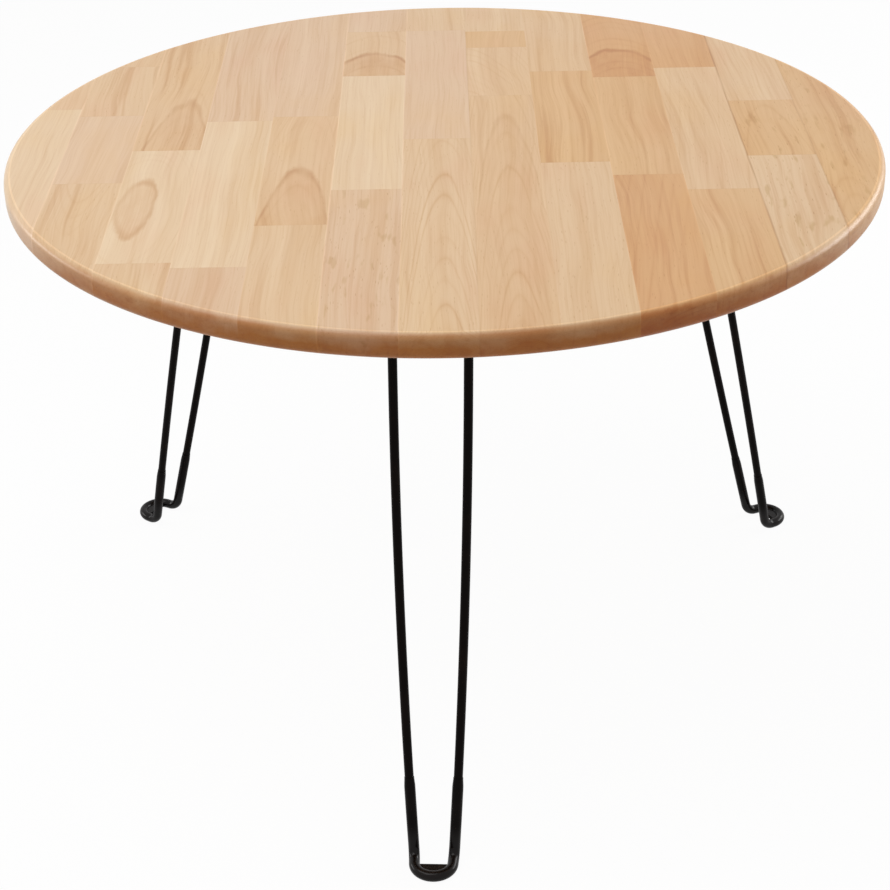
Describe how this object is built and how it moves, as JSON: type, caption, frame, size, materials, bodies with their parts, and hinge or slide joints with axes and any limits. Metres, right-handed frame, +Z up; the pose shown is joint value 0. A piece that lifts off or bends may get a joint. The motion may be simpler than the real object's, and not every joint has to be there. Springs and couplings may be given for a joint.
{
  "type": "chabudai folding low table",
  "caption": "Round low table: a glued solid-wood stave top on hairpin wire legs that fold in under it.",
  "frame": {"origin": "on the floor, under the middle of the whole outline (top and feet) seen from above", "axes": "+Z up, out of the table top; the grain of the top runs along Y; -Y faces the front leg"},
  "size_m": [0.6, 0.6114, 0.395],
  "materials": {
    "wood": "satin clear lacquer",
    "black_wire": "satin black paint",
    "black_sleeve": "satin black",
    "plate_steel": "satin black paint",
    "screw_steel": "zinc plated",
    "spring_steel": "tempered",
    "rivet_steel": "zinc plated"
  },
  "bodies": {
    "top": {"top_stave_01": "wood", "top_stave_02": "wood", "top_stave_03": "wood", "top_stave_04": "wood", "top_stave_05": "wood", "top_stave_06": "wood", "top_stave_07": "wood", "top_stave_08": "wood", "top_stave_09": "wood", "top_stave_10": "wood", "top_stave_11": "wood", "top_stave_12": "wood", "top_stave_13": "wood", "front_hinge_plate": "plate_steel", "front_plate_screws": "screw_steel", "front_friction_spring": "spring_steel", "front_spring_rivets": "rivet_steel", "right_hinge_plate": "plate_steel", "right_plate_screws": "screw_steel", "right_friction_spring": "spring_steel", "right_spring_rivets": "rivet_steel", "left_hinge_plate": "plate_steel", "left_plate_screws": "screw_steel", "left_friction_spring": "spring_steel", "left_spring_rivets": "rivet_steel"},
    "front_leg": {"front_leg_rod": "black_wire", "front_foot_sleeve": "black_sleeve"},
    "right_leg": {"right_leg_rod": "black_wire", "right_foot_sleeve": "black_sleeve"},
    "left_leg": {"left_leg_rod": "black_wire", "left_foot_sleeve": "black_sleeve"}
  },
  "joints": [
    {"name": "front_leg_fold", "type": "hinge", "parent": "top", "child": "front_leg", "pos_m": [-0.01021, -0.18904, 0.37295], "axis": [0.9986, -0.0523, 0], "range_deg": [0, 102]},
    {"name": "right_leg_fold", "type": "hinge", "parent": "top", "child": "right_leg", "pos_m": [0.17375, 0.09422, 0.37295], "axis": [-0.454, 0.891, 0], "range_deg": [0, 98.5]},
    {"name": "left_leg_fold", "type": "hinge", "parent": "top", "child": "left_leg", "pos_m": [-0.16354, 0.1119, 0.37295], "axis": [-0.5446, -0.8387, 0], "range_deg": [0, 93.4]}
  ]
}
